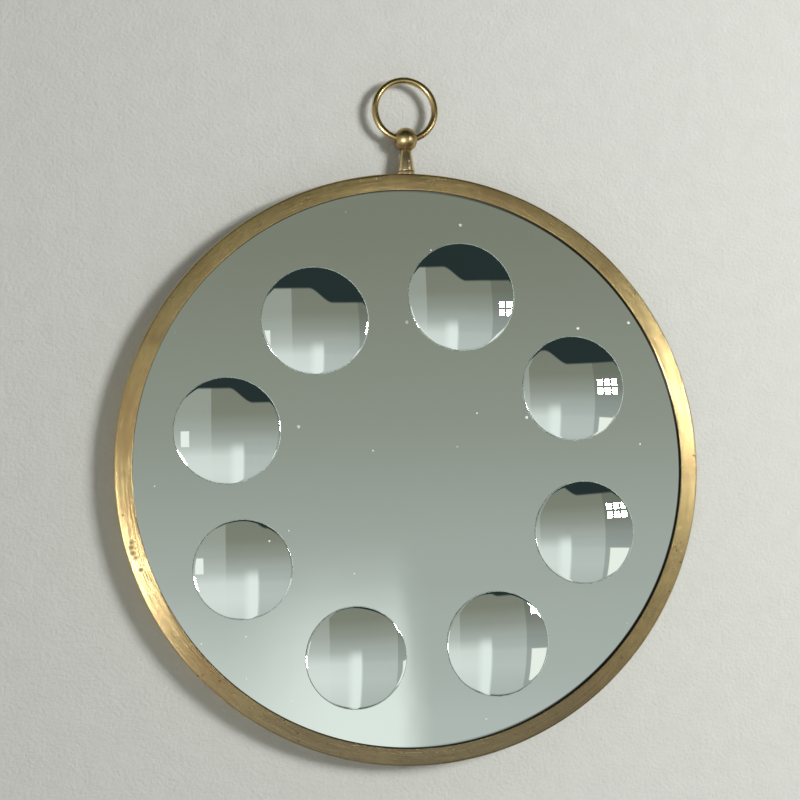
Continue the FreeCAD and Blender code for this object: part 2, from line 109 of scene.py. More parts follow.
camera_data = bpy.data.cameras.new("camera")
camera_data.lens, camera_data.sensor_width = 58.7, 36
camera_data.clip_start = 0.05
camera = bpy.data.objects.new("camera", camera_data)
bpy.context.scene.collection.objects.link(camera)
camera.location = CAMERA_PLACE
camera.rotation_mode = "QUATERNION"
level = Euler((math.radians(90) + PITCH, 0, -HEADING)).to_quaternion()
camera.rotation_quaternion = level @ Euler((0, 0, ROLL)).to_quaternion()
bpy.context.scene.camera = camera
bpy.context.scene.view_settings.view_transform = "Standard"
bpy.context.view_layer.update()
looking = camera.matrix_world.to_3x3() @ Vector((0, 0, -1))
print("camera looks along", tuple(round(v, 3) for v in looking))

# %% [markdown]
# ## Tools for work by hand
# Turned pieces and hoops are all drawn the same way: one vertex, extruded from corner to corner
# into a profile, whose corners are rounded with a vertex bevel, and which is then spun about its
# axis. A Screw modifier would turn a profile as well, but spin leaves a plain mesh whose seam can
# be joined at once. An operator acts on all that is selected, so each step first picks what it
# needs by place.

# %% Hand tools
def put_down():
    """Leaves edit mode, with nothing selected."""
    if bpy.context.object and bpy.context.object.mode == "EDIT":
        bpy.ops.object.mode_set(mode="OBJECT")
    bpy.ops.object.select_all(action="DESELECT")


def take_up(piece):
    """Opens one piece for editing."""
    put_down()
    piece.select_set(True)
    bpy.context.view_layer.objects.active = piece
    bpy.ops.object.mode_set(mode="EDIT")


def pick(piece, wanted, kind="verts"):
    """Selects the vertices, edges or faces whose middle passes the test, and nothing else."""
    bpy.ops.mesh.select_all(action="DESELECT")
    mesh = bmesh.from_edit_mesh(piece.data)
    for item in getattr(mesh, kind):
        if kind == "verts":
            middle = item.co
        else:
            middle = sum((v.co for v in item.verts), Vector()) / len(item.verts)
        item.select = wanted(middle)
    mesh.select_flush(kind == "verts")
    count = sum(item.select for item in getattr(mesh, kind))
    bmesh.update_edit_mesh(piece.data)
    return count


def start_line(name, place):
    """A new piece that is one selected vertex: a plane merged to its centre and moved."""
    put_down()
    bpy.ops.mesh.primitive_plane_add(size=MM, location=(0, 0, 0))
    piece = bpy.context.object
    piece.name = piece.data.name = name
    bpy.ops.object.mode_set(mode="EDIT")
    bpy.ops.mesh.select_all(action="SELECT")
    bpy.ops.mesh.merge(type="CENTER")
    bpy.ops.transform.translate(value=place)
    return piece


def draw_on(places):
    """Extrudes the selected vertex from place to place. The first place is where it is now."""
    for here, there in zip(places, places[1:]):
        step = Vector(there) - Vector(here)
        bpy.ops.mesh.extrude_vertices_move(TRANSFORM_OT_translate={"value": step})


def draw_arc(centre, axis, angle, steps):
    """Carries the selected vertex round an arc. Spin counts angles the other way from a
    right-hand screw, so the sign is turned here."""
    bpy.ops.mesh.spin(steps=steps, angle=-angle, center=centre, axis=axis)


def round_corner(piece, place, radius, segments):
    """Rounds one corner of a profile."""
    pick(piece, lambda point: (point - Vector(place)).length < NEAR)
    bpy.ops.mesh.bevel(offset=radius, segments=segments, affect="VERTICES", clamp_overlap=True)


def spin_round(centre, axis, steps):
    """Spins the whole profile once round its axis and joins the seam and the poles."""
    bpy.ops.mesh.select_all(action="SELECT")
    bpy.ops.mesh.spin(steps=steps, angle=TURN, center=centre, axis=axis)
    bpy.ops.mesh.select_all(action="SELECT")
    bpy.ops.mesh.remove_doubles(threshold=WELD)
    bpy.ops.mesh.normals_make_consistent(inside=False)


def finish_piece(piece, body, slot, *nodes, sharp=35):
    """Smooth shading with sharp corners, then the piece takes its place in the frame."""
    put_down()
    piece.select_set(True)
    bpy.context.view_layer.objects.active = piece
    bpy.ops.object.shade_smooth_by_angle(angle=math.radians(sharp))
    piece.select_set(False)
    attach(piece, body)
    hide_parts(*nodes)
    faces = len(piece.data.polygons)
    size = [round(v * 1000, 2) for v in piece.dimensions]
    print(f"{piece.name}: {faces} faces, {size} mm")


# %% [markdown]
# ## The hoop
# The hoop is a brass angle rolled into a circle: a flat face 18 mm wide that holds the glass in,
# and a wall 25 mm deep behind it. A curve with a bevel object would give the form too, but here
# each corner gets a radius of its own: the section is drawn as six corners and closed, its two
# front corners are rounded as the real ones are, and the rest only lose their burr. It is spun in
# 288 steps, which leaves each chord within 0.02 mm of the circle.

# %% Hoop profile and spin
HOOP_STEPS = 288
OUTER_ROUND, INNER_ROUND, BURR = 2.5 * MM, 1.2 * MM, 0.3 * MM

hoop_corners = [
    (0, 0, HOOP_R),
    (0, -HOOP_DEPTH, HOOP_R),
    (0, -HOOP_DEPTH, FACE_R),
    (0, FACE_THICKNESS - HOOP_DEPTH, FACE_R),
    (0, FACE_THICKNESS - HOOP_DEPTH, WALL_R),
    (0, 0, WALL_R),
]
hoop = start_line("brass_hoop", hoop_corners[0])
draw_on(hoop_corners + hoop_corners[:1])
bpy.ops.mesh.select_all(action="SELECT")
bpy.ops.mesh.remove_doubles(threshold=WELD)
for corner, radius, segments in (
    (hoop_corners[1], OUTER_ROUND, 10),
    (hoop_corners[2], INNER_ROUND, 6),
    (hoop_corners[3], BURR, 2),
    (hoop_corners[0], BURR, 2),
    (hoop_corners[5], BURR, 2),
):
    round_corner(hoop, corner, radius, segments)
spin_round((0, 0, 0), (0, 1, 0), HOOP_STEPS)
put_down()
print("hoop profile spun:", len(hoop.data.vertices), "vertices")

# %% [markdown]
# The hoop's wall is screwed to the wooden liner inside, and each screw's head sits in a
# countersink. Dark rings in the finish would do from afar, but not at the hoop's edge, so the
# holes are cut: one cutter is turned, copied round the hoop, and taken away with a Boolean.

# %% Countersinks for the edge screws
EDGE_SCREWS = 8
EDGE_SCREW_Y = -11 * MM
HOLE_R, SINK_R = 1.3 * MM, 2.55 * MM
SINK_TOP = HOOP_R - 0.2 * MM
SINK_BOTTOM = SINK_TOP - (SINK_R - HOLE_R)
CUT_FROM, CUT_TO = HOOP_R - 4 * MM, HOOP_R + 2 * MM

sink_profile = [
    (CUT_FROM, EDGE_SCREW_Y, 0),
    (CUT_FROM, EDGE_SCREW_Y, HOLE_R),
    (SINK_BOTTOM, EDGE_SCREW_Y, HOLE_R),
    (SINK_TOP, EDGE_SCREW_Y, SINK_R),
    (CUT_TO, EDGE_SCREW_Y, SINK_R),
    (CUT_TO, EDGE_SCREW_Y, 0),
]
cutter = start_line("countersink_cutter", sink_profile[0])
draw_on(sink_profile)
spin_round((0, EDGE_SCREW_Y, 0), (1, 0, 0), 32)


def turn_round(angle):
    """Turns what is selected about the mirror's own axis."""
    bpy.ops.transform.rotate(value=angle, orient_axis="Y", center_override=(0, 0, 0))


bpy.ops.mesh.select_all(action="SELECT")
turn_round(TURN / EDGE_SCREWS / 2)
for number in range(1, EDGE_SCREWS):
    bpy.ops.mesh.duplicate()
    turn_round(TURN / EDGE_SCREWS)
put_down()


def cut_away(piece, tool):
    """Takes the tool's shape out of the piece, and puts the tool away."""
    put_down()
    piece.select_set(True)
    bpy.context.view_layer.objects.active = piece
    cut = piece.modifiers.new("cut", "BOOLEAN")
    cut.operation = "DIFFERENCE"
    cut.solver = "EXACT"
    cut.object = tool
    bpy.ops.object.modifier_apply(modifier=cut.name)
    bpy.data.objects.remove(tool)


cut_away(hoop, cutter)
finish_piece(hoop, "mirror", "frame_brass", "frame_ring", sharp=30)

# %% [markdown]
# ## The mirror plate
# The plate is a disc of 4 mm float glass with its edge taken off on a stone, silvered behind and
# painted over the silver. A bevelled cylinder would do, but the drawn section states the edge as
# the stone leaves it, so half of it is drawn and spun. The faces of the back get a slot of their
# own for the paint.

# %% Flat plate
EDGE_ARRIS = 0.5 * MM
plate_back = GLASS_Y + GLASS_THICKNESS

plate_outline = [
    (0, GLASS_Y, 0),
    (GLASS_R - EDGE_ARRIS, GLASS_Y, 0),
    (GLASS_R, GLASS_Y + EDGE_ARRIS, 0),
    (GLASS_R, plate_back - EDGE_ARRIS, 0),
    (GLASS_R - EDGE_ARRIS, plate_back, 0),
    (0, plate_back, 0),
]
plate = start_line("flat_plate", plate_outline[0])
draw_on(plate_outline)
spin_round((0, 0, 0), (0, 1, 0), HOOP_STEPS)


def give_slot(piece, number, wanted):
    """Gives the faces whose middle passes the test one of the piece's material slots."""
    take_up(piece)
    count = pick(piece, wanted, "faces")
    piece.active_material_index = number
    bpy.ops.object.material_slot_assign()
    put_down()
    return count


def add_slots(piece, *names):
    """Gives a piece one empty material for each name, to be finished further down."""
    piece.data.materials.clear()
    for name in names:
        material = bpy.data.materials.get(name) or bpy.data.materials.new(name)
        piece.data.materials.append(material)


add_slots(plate, "plate_silver", "mirror_back_paint")
painted = give_slot(plate, 1, lambda point: point.y > plate_back - NEAR)
print("faces with paint on the plate:", painted)
finish_piece(plate, "mirror", "mirror_glass", "mirror_plate", sharp=30)

# %% [markdown]
# ## The bull's-eyes
# A bull's-eye is a cap cut from a thin blown globe and silvered inside. Its rim is ground to a flat
# foot that is bonded to the plate, with a short upright edge and a fine bevel, which show as a thin
# bright line round it. A sphere cut off by a plane would have uneven faces at its rim, and a mirror
# shows every one, so a closed section is drawn for each: over the dome, down the edge, in along
# the foot and back under the dome. It is spun about the dome's own axis.

# %% Convex mirrors
FRONT_STEPS, BACK_STEPS, EYE_STEPS = 26, 14, 144
RIM_ROUND = 0.15 * MM


def make_convex_mirror(number, angle, reach, width):
    """One bull's-eye. Its slots are the silver, the ground edge and the paint behind."""
    across = EYES_MIDDLE[0] + reach * MM * math.cos(math.radians(angle))
    up = EYES_MIDDLE[1] + reach * MM * math.sin(math.radians(angle))
    rim = width * MM / 2
    foot_y = GLASS_Y - BOND_GAP
    edge_y = foot_y - EYE_EDGE
    dome_x, dome_y = rim - EYE_BEVEL, edge_y - EYE_BEVEL
    middle = Vector((across, dome_y + math.sqrt(DOME_R**2 - dome_x**2), up))
    back_r = DOME_R - EYE_THICKNESS
    foot_x = math.sqrt(back_r**2 - (middle.y - foot_y) ** 2)

    def beside(reach_out, depth):
        return Vector((across + reach_out, depth, up))

    eye = start_line(f"convex_mirror_{number}", middle - Vector((0, DOME_R, 0)))
    draw_arc(middle, (0, 0, 1), math.asin(dome_x / DOME_R), FRONT_STEPS)
    draw_on([beside(dome_x, dome_y), beside(rim, edge_y), beside(rim, foot_y),
             beside(foot_x, foot_y)])
    draw_arc(middle, (0, 0, 1), -math.asin(foot_x / back_r), BACK_STEPS)
    for corner in (beside(dome_x, dome_y), beside(rim, edge_y)):
        round_corner(eye, corner, RIM_ROUND, 2)
    spin_round(beside(0, 0), (0, 1, 0), EYE_STEPS)
    add_slots(eye, "eye_silver", "ground_glass", "mirror_back_paint")
    give_slot(eye, 1, lambda point: math.hypot(point.x - across, point.z - up) > dome_x - 0.1 * MM)
    give_slot(eye, 2, lambda point: (point - middle).length < back_r + 0.5 * MM)
    finish_piece(eye, "mirror", "convex_glass", f"bulls_eye_{number}", sharp=25)
    return foot_y - (middle.y - DOME_R)


for number, (angle, reach, width) in enumerate(EYES, 1):
    height = make_convex_mirror(number, angle, reach, width)
    print(f"bull's-eye {number}: {width} mm across, {height * 1000:.1f} mm high")

# %% [markdown]
# ## The stem
# The stem is one turned piece: a foot that stands on the hoop, a V groove, and a taper up to the
# ball, which sits in a shallow dish at its top. Stacked cones would leave a seam at each joint, so
# half of its outline is drawn and spun upright, as on a lathe.

# %% Turned stem
STEM_STEPS = 96
FOOT_R, TAPER_R, TOP_R = 9.5 * MM, 8.5 * MM, 5.6 * MM
STEM_Z = HOOP_R - 0.1 * MM
FOOT_Z, GROOVE_Z = HOOP_R + 3.6 * MM, HOOP_R + 4.7 * MM
GROOVE_R = TAPER_R - 1.0 * MM
DISH_R = BALL_R + 0.1 * MM
stem_top = BALL_Z - math.sqrt(DISH_R**2 - TOP_R**2)


def on_stem(radius, height):
    return (radius, HANGER_Y, height)


stem_outline = [
    on_stem(0, STEM_Z),
    on_stem(FOOT_R, STEM_Z),
    on_stem(FOOT_R, FOOT_Z),
    on_stem(GROOVE_R, FOOT_Z),
    on_stem(TAPER_R, GROOVE_Z),
    on_stem(TOP_R, stem_top),
]
stem = start_line("turned_stem", stem_outline[0])
draw_on(stem_outline)
draw_arc(on_stem(0, BALL_Z), (0, 1, 0), math.asin(TOP_R / DISH_R), 6)
for corner, radius, segments in (
    (stem_outline[2], 1.2 * MM, 6),
    (stem_outline[3], 0.15 * MM, 2),
    (stem_outline[4], 0.35 * MM, 3),
    (stem_outline[5], 0.2 * MM, 2),
):
    round_corner(stem, corner, radius, segments)
spin_round(on_stem(0, 0), (0, 0, 1), STEM_STEPS)
finish_piece(stem, "mirror", "hanger_brass", "hanger_stem")

# %% [markdown]
# ## The ball
# A bore crosses the ball from side to side for the ring. It is wider at its two mouths, the shape
# that the ring's curve sweeps as it swings. A Boolean would leave long slivers round the mouths, so
# the section is a closed line: over the outside of the ball, and back through the bore. Spun about
# the bore's own axis, it gives both at once.

# %% Bored ball
BALL_STEPS = 128
sweep_r = RING_R - BORE_R
mouth_z = (BALL_R**2 + RING_R**2 - sweep_r**2) / (2 * RING_R)
mouth_x = math.sqrt(BALL_R**2 - mouth_z**2)
outer_angle = 2 * math.atan2(mouth_x, mouth_z)
bore_angle = 2 * math.asin(mouth_x / sweep_r)
ball = start_line("bored_ball", (-mouth_x, HANGER_Y, BALL_Z + mouth_z))
draw_arc((0, HANGER_Y, BALL_Z), (0, 1, 0), outer_angle, 64)
draw_arc((0, HANGER_Y, RING_Z), (0, 1, 0), bore_angle, 32)
bpy.ops.mesh.select_all(action="SELECT")
bpy.ops.mesh.remove_doubles(threshold=WELD)
for side in (-1, 1):
    round_corner(ball, (side * mouth_x, HANGER_Y, BALL_Z + mouth_z), 0.3 * MM, 3)
spin_round((0, HANGER_Y, BALL_Z), (1, 0, 0), BALL_STEPS)
finish_piece(ball, "mirror", "hanger_brass", "hanger_ball")

# %% [markdown]
# ## The ring
# The ring is brass wire bent round and closed, with a fine seam where its ends meet, just to the
# right of the ball. A bevelled curve would have to be turned into a mesh first, so it is a torus,
# turned upright. At the seam one loop of the wire is split in three by a bevel, and the finish
# darkens it.

# %% Wire ring
SEAM_ANGLE = math.radians(-58)
SEAM_HALF_WIDTH = 0.25 * MM
RING_STEPS, WIRE_STEPS = 240, 32
put_down()
bpy.ops.mesh.primitive_torus_add(
    major_radius=RING_R, minor_radius=WIRE_R, major_segments=RING_STEPS, minor_segments=WIRE_STEPS,
    location=(0, HANGER_Y, RING_Z), rotation=(math.pi / 2, 0, 0),
)
ring = bpy.context.object
ring.name = ring.data.name = "wire_ring"
bpy.ops.object.transform_apply(location=True, rotation=True, scale=True)
take_up(ring)


def at_seam(point):
    angle = math.atan2(point.z - RING_Z, point.x)
    return abs(angle - SEAM_ANGLE) < 0.5 * TURN / RING_STEPS


picked = pick(ring, at_seam)
bpy.ops.mesh.bevel(offset=SEAM_HALF_WIDTH, segments=2, affect="EDGES")
print("seam loop of", picked, "vertices")
finish_piece(ring, "ring", "ring_brass", "hanging_ring")

# %% [markdown]
# ## Writing shader sums as Python
# A finish is worked out from numbers such as the distance from the hoop's middle, and each sum in
# a node tree is a Math node. Added one by one they are hard to read, so the class below wraps one
# output of a node, and an expression such as `1 - mask * 0.3` adds its Math nodes by itself.

# %% Shader sums
class Wire:
    """One output of a shader node, that can be added, multiplied and so on."""

    def __init__(self, finish, socket):
        self.finish = finish
        self.socket = socket

    def math(self, operation, *others):
        return self.finish.node(
            "ShaderNodeMath", {"operation": operation}, dict(enumerate((self,) + others))
        )

    def __add__(self, other):
        return self.math("ADD", other)

    def __mul__(self, other):
        return self.math("MULTIPLY", other)

    def __sub__(self, other):
        return self.math("SUBTRACT", other)

    def __truediv__(self, other):
        return self.math("DIVIDE", other)

    def __rsub__(self, other):
        return self.finish.node("ShaderNodeMath", {"operation": "SUBTRACT"}, {0: other, 1: self})

    __radd__ = __add__
    __rmul__ = __mul__

    def root(self):
        return self.math("SQRT")

    def size(self):
        return self.math("ABSOLUTE")

    def larger(self, other):
        return self.math("MAXIMUM", other)

    def smaller(self, other):
        return self.math("MINIMUM", other)

    def rise(self, low, high):
        """0 below low, 1 above high, and smooth between them."""
        return self.finish.node(
            "ShaderNodeMapRange", {"interpolation_type": "SMOOTHSTEP"},
            {"Value": self, "From Min": low, "From Max": high},
        )


class Finish:
    """A material or the world, whose nodes are added one by one."""

    def __init__(self, owner):
        owner.use_nodes = True
        self.owner = owner
        self.tree = owner.node_tree
        self.tree.nodes.clear()

    def node(self, kind, settings=None, values=None, output=0):
        """Adds a node, sets its settings, fills or links its inputs, and gives one output."""
        made = self.tree.nodes.new(kind)
        for name, setting in (settings or {}).items():
            if name == "stops":
                ramp = made.color_ramp
                while len(ramp.elements) < len(setting):
                    ramp.elements.new(0.5)
                for element, (place, colour) in zip(ramp.elements, setting):
                    element.position = place
                    element.color = (*colour, 1)
            else:
                setattr(made, name, setting)
        for name, value in (values or {}).items():
            socket = made.inputs[name]
            if isinstance(value, Wire):
                self.tree.links.new(value.socket, socket)
            elif isinstance(value, (tuple, list)) and len(value) == 3 and socket.type == "RGBA":
                socket.default_value = (*value, 1)
            else:
                socket.default_value = value
        return Wire(self, made.outputs[output]) if made.outputs else None

    def place(self):
        """The surface point's own x, y and z, in metres."""
        point = self.node("ShaderNodeTexCoord", output="Object")
        return [self.node("ShaderNodeSeparateXYZ", None, {0: point}, axis) for axis in "XYZ"]

    def vector(self, x, y, z):
        return self.node("ShaderNodeCombineXYZ", None, {0: x, 1: y, 2: z})

    def noise(self, vector, scale=1.0, detail=3.0, roughness=0.5, distortion=0.0):
        return self.node(
            "ShaderNodeTexNoise", None,
            {"Vector": vector, "Scale": scale, "Detail": detail, "Roughness": roughness,
             "Distortion": distortion},
        )

    def ramp(self, factor, stops):
        return self.node("ShaderNodeValToRGB", {"stops": stops}, {0: factor})

    def mix(self, factor, first, second):
        """A colour: first where factor is 0, second where it is 1."""
        return self.node(
            "ShaderNodeMix", {"data_type": "RGBA"}, {0: factor, 6: first, 7: second}, output=2
        )

    def bump(self, height, distance, strength=1.0):
        values = {"Height": height, "Distance": distance, "Strength": strength}
        return self.node("ShaderNodeBump", None, values)

    def surface(self, **values):
        """The closing Principled shader. Underscores stand for the spaces in its inputs' names."""
        inputs = {name.replace("_", " "): value for name, value in values.items()}
        shader = self.node("ShaderNodeBsdfPrincipled", None, inputs)
        self.node("ShaderNodeOutputMaterial", None, {"Surface": shader})
        return self.owner


def new_finish(name):
    material = bpy.data.materials.get(name) or bpy.data.materials.new(name)
    return Finish(material)


def start_finish(name):
    """A new finish, with the surface point as one vector and as its x, y and z."""
    f = new_finish(name)
    x, y, z = f.place()
    return f, f.vector(x, y, z), x, y, z


def dress(material, *pieces):
    """Gives whole pieces one finish."""
    for piece in pieces:
        piece.data.materials.clear()
        piece.data.materials.append(material)
    print("finish:", material.name, "on", ", ".join(piece.name for piece in pieces))


# %% [markdown]
# ## Aged brass
# The hoop's face was brushed round and round, and the lacquer went long ago. Fine scratches that
# follow the circle spread a lamp's reflection across them, which gives the two bright fans that
# stand opposite each other. The shader's own anisotropy follows a UV map, which the hoop hasn't
# got, so noise stretched along the circle makes the scratches: it varies fast with the distance
# from the middle and slowly with the direction. Under them lies tarnish, in clouds, streaks and
# freckles of olive, brown and red. Towards the bottom the brass is painted darker and greyer, as
# painted shade. The outer edge is rubbed bright, and the small return next to the glass is
# painted dark, as painted shade.

# %% Brass colours
BRIGHT_BRASS = (0.66, 0.495, 0.225)
DULL_BRASS = (0.34, 0.250, 0.125)
OLIVE_BRASS = (0.19, 0.150, 0.085)
RED_BRASS = (0.42, 0.235, 0.110)
# a cool grey painted on the lower hoop as painted shade
PAINTED_SHADE_GREY = (0.20, 0.170, 0.115)
# near-black for real stains and the ring's seam, and also for painted shade beside the glass, on the
# stem and in and under the ball
TARNISH_AND_SHADE = (0.055, 0.040, 0.024)

# Old stains on the left of the hoop's face: across, up and radius, in millimetres.
STAINS = (
    (-284, -70, 3.4),
    (-284, -75, 4.2),
    (-282, -80, 4.2),
    (-280, -85, 3.4),
    (-275, -97, 2.6),
)


def make_hoop_brass():
    f, point, x, y, z = start_finish("hoop_brass")
    reach = (x * x + z * z).root()
    scratches = f.noise(f.vector(x / reach * 3.5, reach * 2600, z / reach * 3.5), detail=2)
    broad = f.noise(f.vector(x / reach * 5, reach * 520 + y * 500, z / reach * 5), detail=3)
    clouds = f.noise(point, scale=14, detail=3, roughness=0.5)
    mottle = f.noise(point, scale=190, detail=4, roughness=0.65)
    freckles = f.node("ShaderNodeTexVoronoi", None, {"Vector": point, "Scale": 95})
    spots = (1 - freckles.rise(0.05, 0.16)) * clouds.rise(0.52, 0.60)
    for across, up, radius in STAINS:
        away = f.node(
            "ShaderNodeVectorMath", {"operation": "DISTANCE"},
            {0: point, 1: (across * MM, -HOOP_DEPTH, up * MM)}, output="Value",
        )
        ragged = away + 7 * MM * (mottle - 0.5)
        spots = spots.larger(0.95 * (1 - ragged.rise(0.1 * radius * MM, radius * MM)))
    rubbed = reach.rise(297.6 * MM, 299.4 * MM) * (0.55 + 0.45 * broad)
    # painted shade: the hoop's colour is made darker towards the bottom
    low = 1 - z.rise(-0.30, 0.02)
    streaks = f.noise(f.vector(x / reach * 26, reach * 300, z / reach * 26), detail=3)
    # dull holds the tarnish and, through the low mask, the painted shade at the bottom
    dull = clouds.rise(0.35, 0.68) * 0.35 + mottle.rise(0.40, 0.72) * 0.12 + low * 0.65
    dull = dull + streaks.rise(0.42, 0.68) * 0.22
    dull = dull.smaller(1.0) * (1 - 0.75 * rubbed)
    colour = f.mix(dull, BRIGHT_BRASS, DULL_BRASS)
    colour = f.mix(mottle.rise(0.60, 0.82) * 0.30 * (1 - rubbed), colour, OLIVE_BRASS)
    reddened = f.noise(point, scale=9, detail=3, roughness=0.6).rise(0.46, 0.70)
    colour = f.mix(reddened * 0.45 * (1 - rubbed), colour, RED_BRASS)
    # painted shade: the lower hoop is painted greyer
    colour = f.mix((1 - z.rise(-0.30, -0.17)) * 0.55, colour, PAINTED_SHADE_GREY)
    # painted shade: the small return beside the glass is painted dark, as its shadow
    painted_rebate_shade = (1 - reach.rise(282.3 * MM, 283.1 * MM)) * y.rise(-24.9 * MM, -24.3 * MM)
    colour = f.mix((spots * 0.8).larger(painted_rebate_shade * 0.9), colour, TARNISH_AND_SHADE)
    gloss = 0.21 + 0.04 * dull + 0.05 * scratches + 0.20 * spots
    grain = scratches * 0.72 + broad * 0.02
    return f.surface(
        Base_Color=colour, Metallic=1.0, Roughness=gloss,
        Normal=f.bump(grain, distance=0.00028),
    )


dress(make_hoop_brass(), hoop)

# %% [markdown]
# One brass could serve stem, ball and ring, but they have aged apart, so each gets its own. The
# stem was turned on a lathe, and its marks run round the upright axis. The ball has a dull skin,
# and the ring, which hands have held most, is the brightest. The stem's groove and ends and the
# ball's bore, mouths and underside are painted dark, as grime and painted shade, and the heat of
# soldering reddened the wire near its seam.

# %% Hanger brass
def make_stem_brass():
    f, point, x, y, z = start_finish("stem_brass")
    lathe = f.noise(f.vector(x * 40, y * 40, z * 3200), detail=2)
    clouds = f.noise(point, scale=70, detail=4, roughness=0.6)
    # grime and painted shade: the groove, the top under the ball and the foot on the hoop are
    # darkened
    groove = 1 - (z - 304.0 * MM).size().rise(0.2 * MM, 0.9 * MM)
    seat = z.rise(325.6 * MM, 327.4 * MM) + (1 - z.rise(300.2 * MM, 300.9 * MM))
    dirt_and_shade = (groove + seat * 0.8).smaller(1.0)
    dull = clouds.rise(0.35, 0.70) * 0.5
    colour = f.mix(dull, (0.88, 0.69, 0.40), DULL_BRASS)
    colour = f.mix(dirt_and_shade * 0.85, colour, TARNISH_AND_SHADE)
    return f.surface(
        Base_Color=colour, Metallic=1.0, Roughness=0.27 + 0.12 * dull + 0.3 * dirt_and_shade,
        Normal=f.bump(lathe, distance=0.00015),
    )


def make_ball_brass():
    f, point, x, y, z = start_finish("ball_brass")
    clouds = f.noise(point, scale=85, detail=5, roughness=0.6)
    fine = f.noise(point, scale=900, detail=3)
    off_axis = ((y - HANGER_Y) * (y - HANGER_Y) + (z - BALL_Z) * (z - BALL_Z)).root()
    # grime and painted shade: the bore's mouths, the bore and the ball's underside are darkened
    mouths = x.size().rise(9.6 * MM, 10.9 * MM) * (1 - off_axis.rise(5.6 * MM, 7.4 * MM))
    bore = 1 - off_axis.rise(4.4 * MM, 5.6 * MM)
    under = 1 - z.rise(BALL_Z - 12.4 * MM, BALL_Z - 9.6 * MM)
    dirt_and_shade = (mouths * 0.45 + bore * 0.9 + under * 0.8).smaller(1.0)
    dull = clouds.rise(0.36, 0.70) * 0.5 + 0.3
    colour = f.mix(dull, BRIGHT_BRASS, DULL_BRASS)
    colour = f.mix(clouds.rise(0.50, 0.72) * 0.4, colour, OLIVE_BRASS)
    colour = f.mix(dirt_and_shade * 0.85, colour, TARNISH_AND_SHADE)
    return f.surface(
        Base_Color=colour, Metallic=1.0, Roughness=0.28 + 0.10 * dull + 0.2 * dirt_and_shade,
        Normal=f.bump(fine + clouds, distance=0.00010, strength=0.7),
    )


def make_ring_brass():
    f, point, x, y, z = start_finish("ring_brass_wire")
    clouds = f.noise(point, scale=60, detail=5, roughness=0.6)
    up = z - RING_Z
    reach = (x * x + up * up).root()
    drawn = f.noise(f.vector(x / reach * 9, reach * 2400 + y * 1700, up / reach * 9), detail=2)
    seam = 1 - f.node(
        "ShaderNodeVectorMath", {"operation": "DISTANCE"},
        {0: f.vector(x / reach, 0.0, up / reach),
         1: (math.cos(SEAM_ANGLE), 0.0, math.sin(SEAM_ANGLE))},
        output="Value",
    ).rise(0.004, 0.022)
    heated = x.rise(9 * MM, 13 * MM) * (1 - z.rise(RING_Z - 30 * MM, RING_Z - 22 * MM))
    dull = clouds.rise(0.36, 0.70) * 0.6 + 0.1
    colour = f.mix(dull, BRIGHT_BRASS, DULL_BRASS)
    colour = f.mix(heated * 0.5, colour, (0.36, 0.20, 0.09))
    colour = f.mix(seam * 0.85, colour, TARNISH_AND_SHADE)
    return f.surface(
        Base_Color=colour, Metallic=1.0, Roughness=0.20 + 0.14 * dull + 0.35 * seam,
        Normal=f.bump(drawn, distance=0.00004, strength=0.5),
    )


dress(make_stem_brass(), stem)
dress(make_ball_brass(), ball)
dress(make_ring_brass(), ring)

# %% [markdown]
# ## Silvered glass
# A mirror is a metal seen through a few millimetres of faintly green glass. Clear glass over a
# metal sheet would copy that, but renders slowly and with noise, so the front is a very smooth
# metal with the glass's tint. The plate has slow waves and a veil of old wipe marks, pale specks
# lie on it, and along the hoop on the right its silver is painted nearly black, as painted shade.
# The bull's-eyes are clearer, and their ground edges are pale and matt.

# %% Glass finishes
SPECK_COLOUR = (0.84, 0.85, 0.82)


def specks(f, point, scale, share, size):
    """1 on a few round specks, each in a cell of its own, and 0 elsewhere."""
    flat = {"voronoi_dimensions": "2D"}
    spread = {"Vector": point, "Scale": scale}
    cell = f.node("ShaderNodeTexVoronoi", flat, spread)
    lot = f.node("ShaderNodeTexVoronoi", flat, spread, output="Color")
    draw = f.node("ShaderNodeSeparateColor", None, {0: lot}, output=0)
    return (1 - cell.rise(size * 0.7, size)) * draw.rise(1 - share, 1.01 - share)


def make_plate_silver():
    f, point, x, y, z = start_finish("plate_silver")
    waves = f.noise(point, scale=22, detail=1)
    haze = f.noise(point, scale=9, detail=5, roughness=0.6)
    ragged = f.noise(point, scale=700, detail=2)
    face_on = f.vector(x, z, 0.0)
    splash = specks(f, face_on, 17, 0.10, 0.030).larger(specks(f, face_on, 46, 0.03, 0.045))
    splash = splash * ragged.rise(0.30, 0.50)
    ragged_reach = (x * x + z * z).root() + 0.4 * MM * ragged
    # painted shade: the silver next to the hoop on the right is painted nearly black, as the
    # shadowed return seen through the glass
    painted_edge_shade = ragged_reach.rise(280.0 * MM, 281.0 * MM) * x.rise(-60 * MM, 190 * MM)
    colour = f.mix(painted_edge_shade * 0.92, (0.80, 0.86, 0.81), (0.030, 0.026, 0.018))
    colour = f.mix(splash, colour, SPECK_COLOUR)
    return f.surface(
        Base_Color=colour, Metallic=1 - splash,
        Roughness=0.010 + 0.025 * haze.rise(0.5, 0.8) + 0.6 * splash,
        Normal=f.bump(waves, distance=0.0002, strength=0.22),
    )


